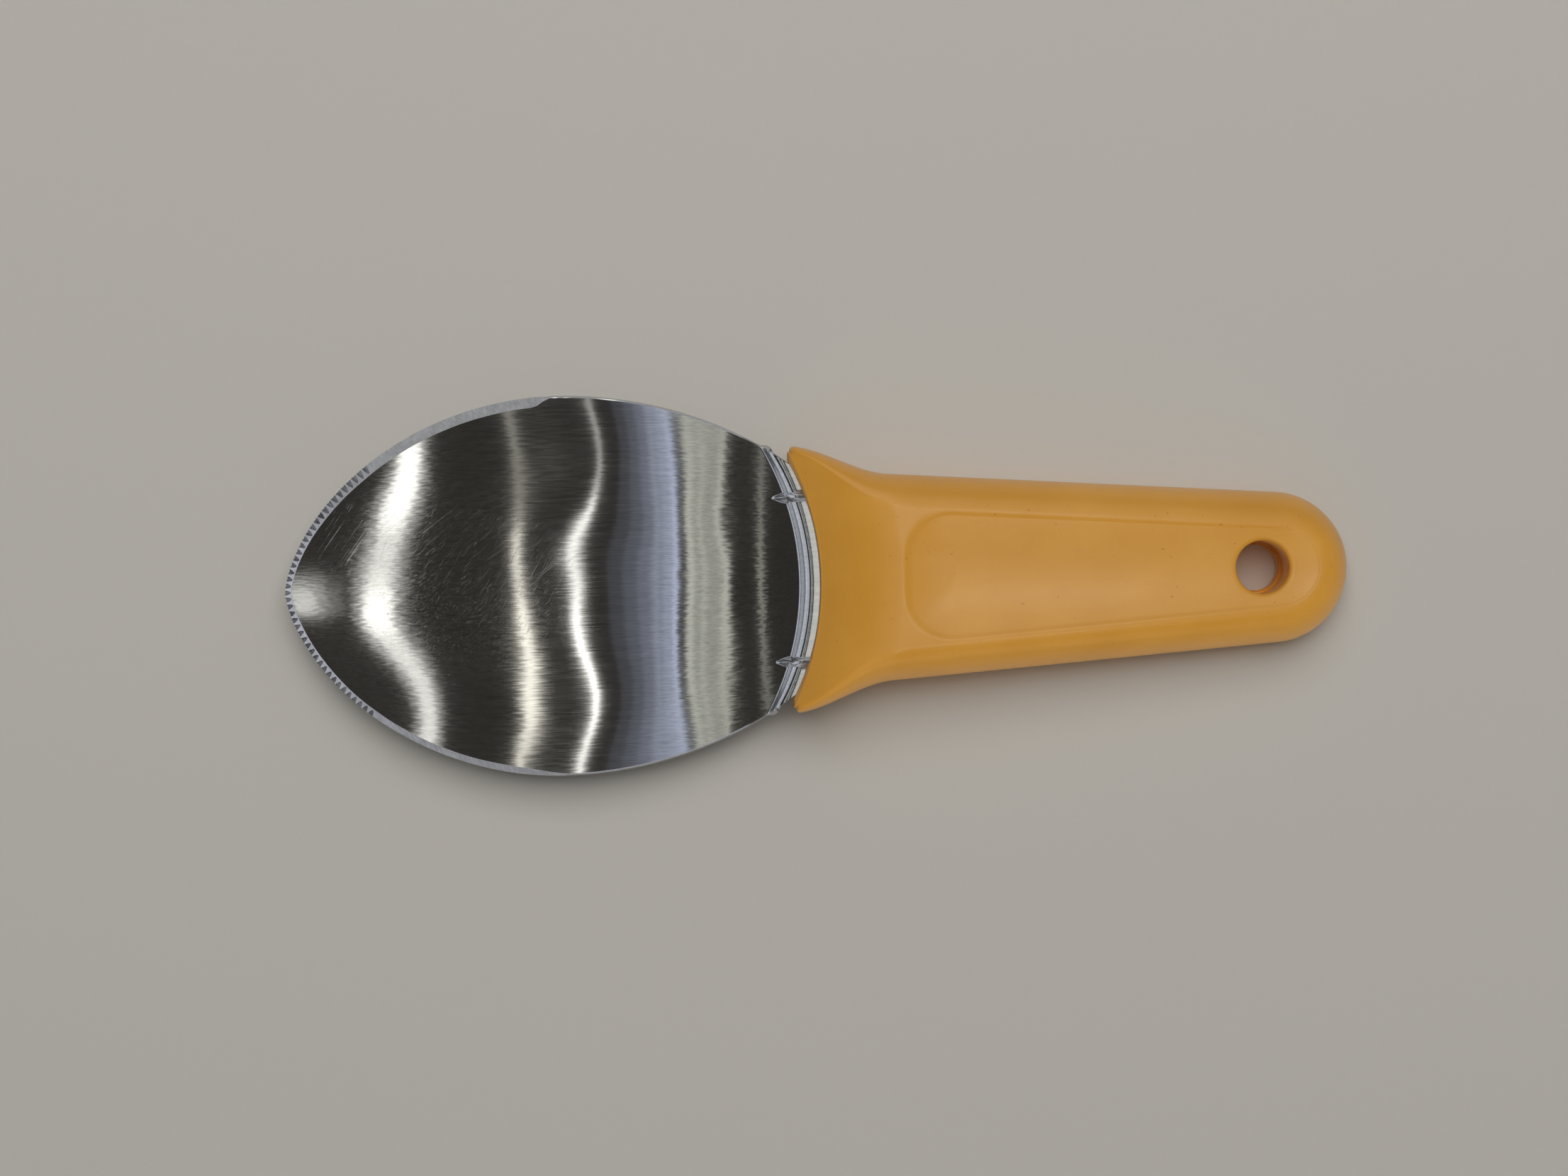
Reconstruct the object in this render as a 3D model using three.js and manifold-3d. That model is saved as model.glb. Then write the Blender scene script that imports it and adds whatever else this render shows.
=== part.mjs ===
// Spoon for scooping mango halves: a pressed steel bowl with its tang, and a handle moulded round the tang.
// Millimetres, +Z up. It lies as on a table. Sizes along the length count from the middle of the handle's
// mouth, with the bowl towards -X, and the finished group is centred on its own length.
import * as THREE from "three";
import { mergeVertices } from "three/addons/utils/BufferGeometryUtils.js";
import Module from "manifold-3d";

// Gap all round between the steel and the moulding
const CLEARANCE = 0.3;

// Bowl seen from above
const BOWL_WIDTH = 65.4;
const TIP_TO_BELLY = 48;
const BELLY_TO_MOUTH = 45;
const TIP_FULLNESS = 0.635;
const REAR_RADIUS = 70;

// Bowl seen from the side: heights above its lowest point
const SHEET = 0.9;
const LOWEST_TO_MOUTH = 41;
const TIP_LIFT = 5.9;
const SIDE_LIFT = 6;
const CORNER_LIFT = 2.5;
const REAR_LIFT = 4.3;

// Step up to the tang, along the arc of the handle's mouth
const MOUTH_RADIUS = 49.5;
const STEP_AHEAD = 3.9;
const STEP_RUN = 2.6;
const TANG_HEIGHT = 7.9;
const TANG_FALL = 2.9;

// Tang inside the handle, with its two locking holes
const SHOULDER_DEPTH = 1.2;
const NECK_LENGTH = 6;
const TANG_WIDTH = 19;
const TANG_TO_HANG_HOLE = 13;
const LOCK_HOLE = 6;
const LOCK_FROM_MOUTH = 20;
const LOCK_FROM_TANG_END = 13;

// Two gussets pressed across the step
const GUSSET_LENGTH = 6.2;
const GUSSET_WIDTH = 2.2;
const GUSSET_RISE = 0.85;
const GUSSET_SPACING = 28.6;
const GUSSET_WALL = 1.1;

// Ground edge of the front half, and the serrations round the tip
const BEVEL_WIDTH = 1.1;
const EDGE_LAND = 0.25;
const EDGE_BREAK = 0.12;
const GRIND_FADE = 3;
const SERRATION_COUNT = 43;
const SERRATION_PITCH = 1.25;
const SERRATION_RADIUS = 0.8;
const SERRATION_DEPTH = 0.85;
const SERRATION_BITE = 0.05;

// Handle seen from above
const HANDLE_LENGTH = 92;
const GRIP_WIDTH = 37.6;
const END_RADIUS = 13.2;
const EAR_REACH = 5.2;
const EAR_FLARE = 4;
const EAR_TIP_RADIUS = 0.9;
const FLARE_END = 12;

// Handle seen from the side
const TOP_RISE = 7.9;
const LIP_RISE = 2;
const CREST_FROM_MOUTH = 14;
const RAMP_FULLNESS = 1.7;
const MOUTH_UNDERSIDE = 3.2;
const UNDERSIDE_FLAT_FROM = 22;

// Rounding of the handle's sides, above and below the parting line, at the ears and along the grip
const EAR_TOP_ROUNDING = 1.1;
const GRIP_TOP_ROUNDING = 6;
const EAR_LOWER_ROUNDING = 9;
const GRIP_LOWER_ROUNDING = 4;
const FULL_ROUNDING_FROM = 15;

// Thumb recess: a long scoop, deepest at the crest's end
const RECESS_MARGIN = 7;
const RECESS_DEPTH = 0.9;
const RECESS_END_DEPTH = 0.45;
const RECESS_RADIUS = 80;
const RECESS_ROUNDING = 1.2;
const RECESS_CORNER = 8;
const RECESS_PAST_HOLE = 4;

// Hang hole: a wider bore from above meets a narrower one from below
const HANG_HOLE = 9.2;
const HANG_HOLE_BELOW = 8.4;
const HANG_HOLE_FROM_END = 16;
const HANG_HOLE_RIM = 0.7;

// Fineness of the mesh
const TIP_LINES = 22;
const REAR_LINES = 11;
const STEP_LINES = 10;
const TANG_LINES = 5;
const TANG_END_LINES = 8;
const SHEET_COLUMNS = 20;
const EAR_RINGS = 4;
const FLARE_RINGS = 14;
const GRIP_RINGS = 8;
const END_RINGS = 12;
const ROLL_POINTS = 6;
const TOP_POINTS = 8;
const BORE_SIDES = 32;
const RECESS_SIDES = 400;
const FLUTE_SIDES = 14;
const MOUTH_SIDES = 160;

// Cutters run this far past what they cut
const OVERRUN = 20;

const STEEL = { color: 0xb9bbbc, roughness: 0.28, metalness: 1 };
const PLASTIC = { color: 0xeda942, roughness: 0.42, metalness: 0 };

const halfBowl = BOWL_WIDTH / 2;
const bellyX = -BELLY_TO_MOUTH;
const tipX = bellyX - TIP_TO_BELLY;
const lowestX = -LOWEST_TO_MOUTH;
const fallAngle = THREE.MathUtils.degToRad(TANG_FALL);
const hangHoleX = HANDLE_LENGTH - HANG_HOLE_FROM_END;
const tangEndX = hangHoleX - HANG_HOLE / 2 - TANG_TO_HANG_HOLE;
const lockHoleXs = [LOCK_FROM_MOUTH, tangEndX - LOCK_FROM_TANG_END];

const wasm = await Module();
wasm.setup();

// A closed three.js geometry as a solid that can be joined and cut.
function solidOf(geometry) {
  const bare = geometry.clone();
  bare.deleteAttribute("normal");
  bare.deleteAttribute("uv");
  const merged = mergeVertices(bare, 1e-4);
  const corners = merged.index.array;
  const kept = [];
  for (let i = 0; i < corners.length; i += 3) {
    const [a, b, c] = corners.subarray(i, i + 3);
    if (a !== b && b !== c && c !== a) kept.push(a, b, c);
  }
  const mesh = new wasm.Mesh({
    numProp: 3,
    vertProperties: merged.attributes.position.array,
    triVerts: new Uint32Array(kept),
  });
  return new wasm.Manifold(mesh);
}

function geometryOf(solid) {
  const mesh = solid.getMesh();
  const geometry = new THREE.BufferGeometry();
  geometry.setAttribute("position", new THREE.BufferAttribute(mesh.vertProperties, 3));
  geometry.setIndex(new THREE.BufferAttribute(mesh.triVerts, 1));
  geometry.computeVertexNormals();
  return geometry;
}

function joined(solids) {
  return solids.reduce((whole, solid) => whole.add(solid));
}

// Skin over rings of equal length. Each ring runs over the top and back underneath, so that its
// point j lies above point -j, and the ring at either end is closed by zipping those pairs.
function loft(rings) {
  const count = rings[0].length;
  const points = rings.flat();
  const faces = [];
  const quad = (a, b, c, d) => faces.push(a, c, b, a, d, c);
  for (let i = 0; i + 1 < rings.length; i++) {
    for (let j = 0; j < count; j++) {
      const next = (j + 1) % count;
      const here = i * count;
      const there = here + count;
      quad(here + j, here + next, there + next, there + j);
    }
  }
  const last = (rings.length - 1) * count;
  for (let j = 0; j < count / 2; j++) {
    const below = (count - j) % count;
    quad(j, below, count - j - 1, j + 1);
    quad(last + j, last + j + 1, last + count - j - 1, last + below);
  }
  return new THREE.BufferGeometry().setFromPoints(points).setIndex(faces);
}

function range(count, value) {
  return Array.from({ length: count }, (_, i) => value(i));
}

function between(from, to, share) {
  return THREE.MathUtils.lerp(from, to, share);
}

function smooth(x, from, to) {
  return THREE.MathUtils.smoothstep(x, from, to);
}

// Top of the tang, which falls towards the handle's end.
function tangTop(x) {
  return TANG_HEIGHT - x * Math.tan(fallAngle);
}

// The mould parts on the middle of the tang's sheet.
function parting(x) {
  return tangTop(x) - SHEET / 2;
}

// Half the bowl's width: a full, slightly pointed front, and a plain arc behind the belly.
function bowlHalfWidth(x) {
  const fromBelly = x - bellyX;
  if (fromBelly > 0) return halfBowl - REAR_RADIUS + Math.sqrt(REAR_RADIUS ** 2 - fromBelly ** 2);
  const share = Math.min(1, -fromBelly / TIP_TO_BELLY);
  return halfBowl * (1 - share * share) ** TIP_FULLNESS;
}

// Upper surface of the sheet: a shallow dish that steps up along the mouth's arc and runs on as the tang.
function sheetTop(x, y) {
  const reach = x < lowestX ? lowestX - tipX : LOWEST_TO_MOUTH - STEP_AHEAD;
  const along = ((x - lowestX) / reach) ** 2;
  const across = (y / halfBowl) ** 2;
  const lengthwise = (x < lowestX ? TIP_LIFT : REAR_LIFT) * along;
  const dish = SHEET + lengthwise + (SIDE_LIFT + CORNER_LIFT * along) * across;
  const pastBend = Math.hypot(x + MOUTH_RADIUS, y) - (MOUTH_RADIUS - STEP_AHEAD);
  const climbed = x < -MOUTH_RADIUS ? 0 : THREE.MathUtils.clamp(pastBend / STEP_RUN, 0, 1);
  return between(dish, tangTop(x), (1 - Math.cos(Math.PI * climbed)) / 2);
}

function sheetNormal(x, y) {
  const step = 0.01;
  const slopeX = (sheetTop(x + step, y) - sheetTop(x - step, y)) / (2 * step);
  const slopeY = (sheetTop(x, y + step) - sheetTop(x, y - step)) / (2 * step);
  return new THREE.Vector3(-slopeX, -slopeY, 1).normalize();
}

// A point of the sheet at a depth under its upper surface.
function inSheet(x, y, depth) {
  return new THREE.Vector3(x, y, sheetTop(x, y)).addScaledVector(sheetNormal(x, y), -depth);
}

// Lines across the sheet, from tip to tang. Each has its middle on the axis, bends like the mouth near
// the step, and ends on the outline at half width y.
function sheetLines() {
  const bendX = -STEP_AHEAD;
  const bendOf = (x) => smooth(x, bellyX, bendX) * (1 - smooth(x, 1, NECK_LENGTH * 2));
  const backOf = (x, y) => {
    const curve = bendOf(x) / (x + MOUTH_RADIUS);
    return curve > 0 ? (1 - Math.sqrt(1 - (curve * y) ** 2)) / curve : 0;
  };
  const outlineY = (x) => {
    let inside = 0;
    let outside = halfBowl;
    for (let i = 0; i < 40; i++) {
      const y = (inside + outside) / 2;
      if (y < bowlHalfWidth(x - backOf(x, y))) inside = y;
      else outside = y;
    }
    return inside;
  };
  const halfTang = TANG_WIDTH / 2;
  const shoulderY = outlineY(SHOULDER_DEPTH);
  const tangRoot = SHOULDER_DEPTH + NECK_LENGTH;
  const roundFrom = tangEndX - halfTang;
  const quarter = Math.PI / 2;

  const front = range(TIP_LINES, (i) => bellyX - TIP_TO_BELLY * Math.cos((quarter * i) / TIP_LINES));
  const rear = range(REAR_LINES, (i) => between(bellyX, bendX, i / REAR_LINES));
  const step = range(STEP_LINES + 1, (i) => bendX + (STEP_RUN * i) / STEP_LINES);
  const lines = [...front, ...rear, ...step, SHOULDER_DEPTH].map((x) => ({ x, y: outlineY(x) }));
  const neck = range(TANG_LINES, (i) => (i + 1) / TANG_LINES).map((share) => ({
    x: between(SHOULDER_DEPTH, tangRoot, share),
    y: between(shoulderY, halfTang, smooth(share, 0, 1)),
  }));
  const strap = range(TANG_LINES - 1, (i) => (i + 1) / TANG_LINES).map((share) => ({
    x: between(tangRoot, roundFrom, share),
    y: halfTang,
  }));
  const end = range(TANG_END_LINES, (i) => (quarter * i) / TANG_END_LINES).map((angle) => ({
    x: roundFrom + halfTang * Math.sin(angle),
    y: halfTang * Math.cos(angle),
  }));
  return [...lines, ...neck, ...strap, ...end].map(({ x, y }) => ({
    y,
    at: (side) => new THREE.Vector2(x + backOf(x, 0) - backOf(x, y * side), y * side),
  }));
}

const lines = sheetLines();

// Direction in plan from the outline into the sheet, at the +Y end of a line.
function inwardAt(i) {
  if (i === 0) return new THREE.Vector2(1, 0);
  const before = lines[i - 1].at(1);
  const after = lines[Math.min(lines.length - 1, i + 1)].at(1);
  const along = after.sub(before).normalize();
  return new THREE.Vector2(along.y, -along.x);
}

// Share of the full grind at a place along the bowl.
function grindAt(x) {
  return 1 - smooth(x, bellyX - GRIND_FADE, bellyX);
}

// One ring round the sheet: over the upper face, down the edge and back along the underside.
// grow widens the sheet on all sides, for the slot that the moulding keeps round it.
function sheetRing(i, grow) {
  const rim = lines[i].at(1);
  const inward = inwardAt(i);
  const grind = grow ? 0 : grindAt(rim.x);
  const bevel = between(EDGE_BREAK, BEVEL_WIDTH, grind) - grow;
  const land = between(SHEET - EDGE_BREAK, EDGE_LAND, grind);
  const shares = range(SHEET_COLUMNS + 1, (j) => (2 * j) / SHEET_COLUMNS - 1);
  const inner = rim.clone().addScaledVector(inward, bevel);
  const shrink = lines[i].y > 0 ? Math.max(0, inner.y) / lines[i].y : 0;
  const pull = inner.x - lines[i].at(shrink).x;
  const top = shares.map((side) => {
    const place = lines[i].at(side * shrink);
    return inSheet(place.x + pull, place.y, -grow);
  });
  const outer = rim.clone().addScaledVector(inward, -grow);
  const push = outer.x - rim.x;
  const spread = lines[i].y > 0 ? outer.y / lines[i].y : 0;
  const under = shares.toReversed().map((side) => {
    const place = lines[i].at(side);
    return inSheet(place.x + push, place.y * spread, SHEET + grow);
  });
  const edge = (side) => inSheet(outer.x, outer.y * side, SHEET - land);
  return [edge(-1), ...top, edge(1), ...under];
}

// The tang's locking holes, or the plugs of the moulding that pass through them.
function lockCutters(diameter) {
  return lockHoleXs.map((x) => {
    const bore = new THREE.CylinderGeometry(diameter / 2, diameter / 2, 2 * OVERRUN, BORE_SIDES);
    return solidOf(bore.rotateX(Math.PI / 2).translate(x, 0, tangTop(x)));
  });
}

// A bead across the step: a long drop of the given rise, laid on the chord of the step.
function gusset(side, length, width, rise, sink) {
  const y = (side * GUSSET_SPACING) / 2;
  const bendX = Math.sqrt((MOUTH_RADIUS - STEP_AHEAD) ** 2 - y * y) - MOUTH_RADIUS;
  const mouthX = Math.sqrt(MOUTH_RADIUS ** 2 - y * y) - MOUTH_RADIUS;
  const endX = mouthX - CLEARANCE;
  const startX = endX - GUSSET_LENGTH;
  const start = new THREE.Vector3(startX, y, sheetTop(startX, y));
  const end = new THREE.Vector3(endX, y, sheetTop(endX, y));
  const chord = end.clone().sub(start);
  const drop = new THREE.SphereGeometry(0.5, 16, 10).scale(length, width, 2 * rise);
  drop.rotateY(-Math.atan2(chord.z, chord.x));
  const middle = start.add(end).multiplyScalar(0.5);
  const lift = sheetNormal(bendX, y).multiplyScalar(-sink);
  return solidOf(drop.translate(middle.x + lift.x, middle.y, middle.z + lift.z));
}

// The lower rim from one end of the grind to the other, measured along its length.
class GroundRim extends THREE.Curve {
  getPoint(t) {
    const angle = Math.PI * (t - 0.5);
    const x = bellyX - TIP_TO_BELLY * Math.cos(angle);
    return inSheet(x, Math.sign(angle) * bowlHalfWidth(x), SHEET);
  }
}

// Flutes ground across the bevel, one every pitch, to both sides of the tip.
function serrationCutters() {
  const rim = new GroundRim();
  rim.arcLengthDivisions = 800;
  const length = rim.getLength();
  const rise = SHEET - ((SHEET - EDGE_LAND) * (BEVEL_WIDTH - SERRATION_DEPTH)) / BEVEL_WIDTH;
  const climb = Math.atan2(rise, SERRATION_DEPTH);
  const reach = BEVEL_WIDTH + 2 * SERRATION_DEPTH;
  return range(SERRATION_COUNT, (i) => {
    const share = 0.5 + ((i - (SERRATION_COUNT - 1) / 2) * SERRATION_PITCH) / length;
    const place = rim.getPointAt(share);
    const tangent = rim.getTangentAt(share);
    const up = sheetNormal(place.x, place.y);
    const inward = new THREE.Vector3().crossVectors(tangent, up).normalize();
    if (inward.x < 0) inward.negate();
    const axis = inward.clone().multiplyScalar(Math.cos(climb)).addScaledVector(up, Math.sin(climb));
    const aside = inward.multiplyScalar(-Math.sin(climb)).addScaledVector(up, Math.cos(climb));
    const flute = new THREE.CylinderGeometry(SERRATION_RADIUS, SERRATION_RADIUS, reach, FLUTE_SIDES);
    flute.applyQuaternion(new THREE.Quaternion().setFromUnitVectors(new THREE.Vector3(0, 1, 0), axis));
    const centre = place.addScaledVector(aside, SERRATION_RADIUS - SERRATION_BITE);
    return solidOf(flute.translate(centre.x, centre.y, centre.z));
  });
}

function steelBowl() {
  const sheet = solidOf(loft(lines.map((_, i) => sheetRing(i, 0))));
  const sides = [-1, 1];
  const beads = sides.map((side) => gusset(side, GUSSET_LENGTH, GUSSET_WIDTH, GUSSET_RISE, 0));
  const dents = sides.map((side) => {
    return gusset(side, GUSSET_LENGTH - 2 * SHEET, GUSSET_WIDTH - SHEET, GUSSET_RISE, GUSSET_WALL);
  });
  const cuts = joined([...dents, ...lockCutters(LOCK_HOLE), ...serrationCutters()]);
  return sheet.add(joined(beads)).subtract(cuts);
}

// The space that the moulding leaves round the sheet, from in front of the mouth to the tang's end.
function tangSlot() {
  const first = lines.findIndex((line) => line.at(0).x > -STEP_AHEAD);
  const rings = lines.slice(first).map((_, i) => sheetRing(first + i, CLEARANCE));
  const plugs = joined(lockCutters(LOCK_HOLE - 2 * CLEARANCE));
  return solidOf(loft(rings)).subtract(plugs);
}

// Taper of the grip's straight sides, which run tangent into the round end.
const endCentreX = HANDLE_LENGTH - END_RADIUS;
const taper =
  Math.acos(END_RADIUS / Math.hypot(GRIP_WIDTH / 2, endCentreX)) - Math.atan2(endCentreX, GRIP_WIDTH / 2);

function gripHalfWidth(x) {
  return GRIP_WIDTH / 2 - x * Math.tan(taper);
}

// Half the handle's width with the flared ears, whose tips are rounded.
function handleHalfWidth(x) {
  const flare = EAR_FLARE * smooth(-x, -FLARE_END, EAR_REACH);
  const toTip = THREE.MathUtils.clamp((x + EAR_REACH) / EAR_TIP_RADIUS, 0, 1);
  const rounding = EAR_TIP_RADIUS * (1 - Math.sqrt(1 - (1 - toTip) ** 2));
  return gripHalfWidth(x) + flare - rounding;
}

// Upper surface: a ramp that rises from the thin lip to a crest, then runs level with the tang.
function handleTop(x, y) {
  const fromMouth = Math.hypot(x + MOUTH_RADIUS, y) - MOUTH_RADIUS;
  const climbed = Math.min(1, fromMouth / CREST_FROM_MOUTH);
  return parting(x) + between(LIP_RISE, TOP_RISE, 1 - (1 - climbed) ** RAMP_FULLNESS);
}

function handleUnderside(x) {
  return MOUTH_UNDERSIDE * (1 - smooth(x, -EAR_REACH, UNDERSIDE_FLAT_FROM));
}

// Places along the +Y outline, each with its direction into the handle.
function handleOutline() {
  const sideEnd = endCentreX + END_RADIUS * Math.sin(taper);
  const earEnd = EAR_TIP_RADIUS - EAR_REACH;
  const tips = range(EAR_RINGS, (i) => -EAR_REACH + EAR_TIP_RADIUS * (i / EAR_RINGS) ** 2);
  const flare = range(FLARE_RINGS, (i) => between(earEnd, FULL_ROUNDING_FROM, i / FLARE_RINGS));
  const grip = range(GRIP_RINGS, (i) => between(FULL_ROUNDING_FROM, sideEnd, i / GRIP_RINGS));
  const along = [...tips, ...flare, ...grip].map((x) => {
    const step = 0.01;
    const slope = (handleHalfWidth(x + step) - handleHalfWidth(Math.max(x - step, -EAR_REACH))) / (2 * step);
    const steady = x < earEnd ? 0 : slope;
    return {
      place: new THREE.Vector2(x, handleHalfWidth(x)),
      inward: new THREE.Vector2(steady, -1).normalize(),
    };
  });
  const round = range(END_RINGS + 1, (i) => {
    const angle = between(taper, Math.PI / 2, i / END_RINGS);
    const out = new THREE.Vector2(Math.sin(angle), i === END_RINGS ? 0 : Math.cos(angle));
    return {
      place: new THREE.Vector2(endCentreX, 0).addScaledVector(out, END_RADIUS),
      inward: out.clone().negate(),
    };
  });
  return [...along, ...round];
}

// One ring round the handle. From the parting line each side rolls over into the flat top and bottom.
function handleRing({ place, inward }) {
  const share = THREE.MathUtils.clamp((place.x + EAR_REACH) / (FULL_ROUNDING_FROM + EAR_REACH), 0, 1);
  const half = (radius, surface) => {
    const inner = place.clone().addScaledVector(inward, radius);
    const from = parting(place.x);
    const rise = surface(inner.x, inner.y) - from;
    const roll = range(ROLL_POINTS + 1, (i) => {
      const angle = (Math.PI / 2) * (i / ROLL_POINTS);
      const at = place.clone().addScaledVector(inward, radius * (1 - Math.cos(angle)));
      return new THREE.Vector3(at.x, at.y, from + rise * Math.sin(angle));
    });
    const across = range(TOP_POINTS - 1, (i) => inner.y * (1 - (2 * (i + 1)) / TOP_POINTS));
    const flat = across.map((y) => new THREE.Vector3(inner.x, y, surface(inner.x, y)));
    const far = roll.toReversed().map((p) => new THREE.Vector3(p.x, -p.y, p.z));
    return [...roll, ...flat, ...far];
  };
  const over = half(between(EAR_TOP_ROUNDING, GRIP_TOP_ROUNDING, share), handleTop);
  const under = half(between(EAR_LOWER_ROUNDING, GRIP_LOWER_ROUNDING, share), handleUnderside);
  return [...over.toReversed(), ...under.slice(1, -1)];
}

// The mouth's arc, as the space in front of it.
function mouthCutter() {
  const drum = new THREE.CylinderGeometry(MOUTH_RADIUS, MOUTH_RADIUS, 2 * OVERRUN, MOUTH_SIDES);
  return solidOf(drum.rotateX(Math.PI / 2).translate(-MOUTH_RADIUS, 0, 0));
}

// A dished panel for the thumb: a round scoop along the grip, kept within the panel's outline.
function recessCutter() {
  const startX = CREST_FROM_MOUTH + RECESS_ROUNDING;
  const endX = hangHoleX + RECESS_PAST_HOLE;
  const startY = gripHalfWidth(startX) - RECESS_MARGIN;
  const endY = gripHalfWidth(endX) - RECESS_MARGIN;
  const wallDepth = RECESS_DEPTH + RECESS_END_DEPTH;
  const outline = new THREE.Shape();
  outline.moveTo(endX, -endY);
  outline.absarc(endX, 0, endY, -Math.PI / 2, Math.PI / 2, false);
  outline.lineTo(startX + RECESS_CORNER, startY);
  outline.quadraticCurveTo(startX, startY, startX, startY - RECESS_CORNER);
  outline.lineTo(startX, RECESS_CORNER - startY);
  outline.quadraticCurveTo(startX, -startY, startX + RECESS_CORNER, -startY);
  const panel = new THREE.ExtrudeGeometry(outline, {
    depth: TOP_RISE,
    curveSegments: 10,
    bevelThickness: wallDepth,
    bevelSize: RECESS_ROUNDING,
    bevelSegments: 3,
  });
  panel.translate(-startX, 0, wallDepth);
  const length = endX + endY - startX;
  const scoop = new THREE.CylinderGeometry(RECESS_RADIUS, RECESS_RADIUS, 4 * length, RECESS_SIDES);
  scoop.rotateZ(Math.PI / 2).translate(0, 0, RECESS_RADIUS + wallDepth - RECESS_DEPTH);
  const tilt = fallAngle - Math.atan2(RECESS_DEPTH - RECESS_END_DEPTH, length);
  const [outer, floor] = [panel, scoop].map((shape) => {
    return solidOf(shape.rotateY(tilt).translate(startX, 0, handleTop(startX, 0) - wallDepth));
  });
  return outer.intersect(floor);
}

// The two bores of the hang hole, both with a rounded rim.
function hangHoleCutter() {
  const top = handleTop(hangHoleX, 0);
  const upper = HANG_HOLE / 2;
  const lower = HANG_HOLE_BELOW / 2;
  const round = (radius, height, side) =>
    range(5, (i) => {
      const angle = (Math.PI / 2) * (i / 4);
      const out = HANG_HOLE_RIM * (1 - Math.sin(angle));
      return new THREE.Vector2(radius + out, height + side * HANG_HOLE_RIM * (1 - Math.cos(angle)));
    });
  const profile = [
    new THREE.Vector2(0, -OVERRUN),
    new THREE.Vector2(lower + HANG_HOLE_RIM, -OVERRUN),
    ...round(lower, 0, 1),
    new THREE.Vector2(lower, parting(hangHoleX)),
    new THREE.Vector2(upper, parting(hangHoleX)),
    ...round(upper, top, -1).toReversed(),
    new THREE.Vector2(upper + HANG_HOLE_RIM, OVERRUN),
    new THREE.Vector2(0, OVERRUN),
  ];
  const bore = new THREE.LatheGeometry(profile, BORE_SIDES).rotateX(Math.PI / 2);
  return solidOf(bore.translate(hangHoleX, 0, 0));
}

function mouldedHandle() {
  const body = solidOf(loft(handleOutline().map(handleRing)));
  return body
    .subtract(mouthCutter())
    .subtract(recessCutter())
    .subtract(hangHoleCutter())
    .subtract(tangSlot());
}

function named(name, solid, finish) {
  const mesh = new THREE.Mesh(geometryOf(solid), new THREE.MeshStandardMaterial(finish));
  mesh.name = name;
  return mesh;
}

const spoon = new THREE.Group();
spoon.name = "mango_spoon";
spoon.add(named("steel_bowl", steelBowl(), STEEL));
spoon.add(named("handle", mouldedHandle(), PLASTIC));
spoon.position.x = -new THREE.Box3().setFromObject(spoon).getCenter(new THREE.Vector3()).x;

export default spoon;
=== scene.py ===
import bisect
import math

import bmesh
import bpy
from mathutils import Matrix, Vector, noise


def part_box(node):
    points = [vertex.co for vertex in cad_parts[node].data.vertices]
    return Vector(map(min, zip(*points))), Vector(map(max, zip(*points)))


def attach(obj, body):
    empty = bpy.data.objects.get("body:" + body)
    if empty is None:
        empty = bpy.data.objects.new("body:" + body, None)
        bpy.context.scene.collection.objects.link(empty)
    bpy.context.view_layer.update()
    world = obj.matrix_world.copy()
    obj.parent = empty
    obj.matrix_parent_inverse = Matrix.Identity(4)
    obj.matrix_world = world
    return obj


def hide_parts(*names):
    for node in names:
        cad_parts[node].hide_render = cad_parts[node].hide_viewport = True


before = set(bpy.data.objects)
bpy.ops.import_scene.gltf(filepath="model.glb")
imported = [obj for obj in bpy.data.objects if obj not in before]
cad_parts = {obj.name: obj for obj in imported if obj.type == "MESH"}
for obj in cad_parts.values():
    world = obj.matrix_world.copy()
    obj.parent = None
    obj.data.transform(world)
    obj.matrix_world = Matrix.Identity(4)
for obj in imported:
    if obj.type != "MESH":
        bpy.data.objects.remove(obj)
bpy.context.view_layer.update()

# Steel bowl: one blank of 0.9 mm stainless sheet, a leaf with a tang, pressed to a shallow dish that steps
# up to the tang, with two gussets across the step. Sizes are in millimetres from the middle of the handle's
# mouth until the finished mesh is put in its place.
mouth_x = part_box("handle")[1].x - 0.092
sheet = 0.9
tip, belly, lowest = -92.99, -45.0, -41.0
half_bowl, rear_radius, leaf_power = 32.7, 70.0, 0.635
tang_end, half_tang = 58.4, 9.5
tang_height, tang_fall = 7.9, math.tan(math.radians(2.9))
strap_start, strap_change = -3.0, 10.0


def smooth(share):
    share = min(1.0, max(0.0, share))
    return share * share * (3 - 2 * share)


def mix(a, b, share):
    return a + (b - a) * share


def tang_top(x):
    return tang_height - x * tang_fall


def bowl_half_width(x):
    if x > belly:
        return half_bowl - rear_radius + math.sqrt(rear_radius**2 - (x - belly) ** 2)
    return half_bowl * max(0.0, 1 - ((belly - x) / (belly - tip)) ** 2) ** leaf_power


def blank_half_width(x):
    into_round = max(0.0, x - tang_end + half_tang)
    strap = math.sqrt(max(0.0, half_tang**2 - into_round**2))
    return mix(bowl_half_width(min(x, 0.0)), strap, smooth((x - strap_start) / strap_change))


# The dish rises from its lowest point to the tip, to the step and to the rim. Its two sides lean a little,
# each in its own way, and that bends the reflections. The far side is the one where y is above zero. A
# side's five values are its lean at the tip and in the middle, where the middle's lean begins, over what
# length it sets in, and the share of it that is lost towards the rim.
front_rise, front_twist = 5.9, 0.6
rear_reach, rear_rise, rear_twist = 37.6, 4.3, -0.55
side_rise = 6.0
tip_lean_end, tip_lean_ease = -66.0, 3.0
middle_lean_end, middle_lean_ease = -34.0, 2.5
far_lean = (0.017, 0.026, -47.0, 2.2, 0.2)
near_lean = (0.028, 0.015, -51.0, 1.8, 0.5)
flank_start, flank_change = 3.0, 19.0
rim_start, rim_change = 22.0, 10.0


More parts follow.
